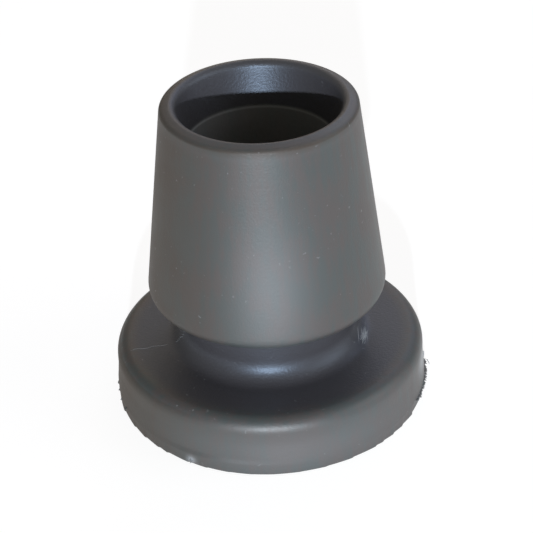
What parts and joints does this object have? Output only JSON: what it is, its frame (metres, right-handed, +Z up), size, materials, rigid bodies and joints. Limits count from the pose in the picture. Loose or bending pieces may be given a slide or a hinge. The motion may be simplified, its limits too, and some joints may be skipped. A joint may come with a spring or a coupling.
{
  "type": "rubber cane tip",
  "caption": "Rubber tip for a walking stick: a tapered sleeve with a round socket, a narrow neck and a wide ringed foot, moulded in one piece.",
  "frame": {"origin": "centre of the foot's ground face, on the axis of the socket", "axes": "+Z up along the axis of the socket, towards its mouth"},
  "size_m": [0.049, 0.049, 0.05],
  "materials": {
    "rubber": "matte dark grey moulded rubber with a pale bloom, satin where the mould was polished in the neck and the mouth"
  },
  "bodies": {
    "root": {"cane_tip": "rubber"}
  },
  "joints": []
}
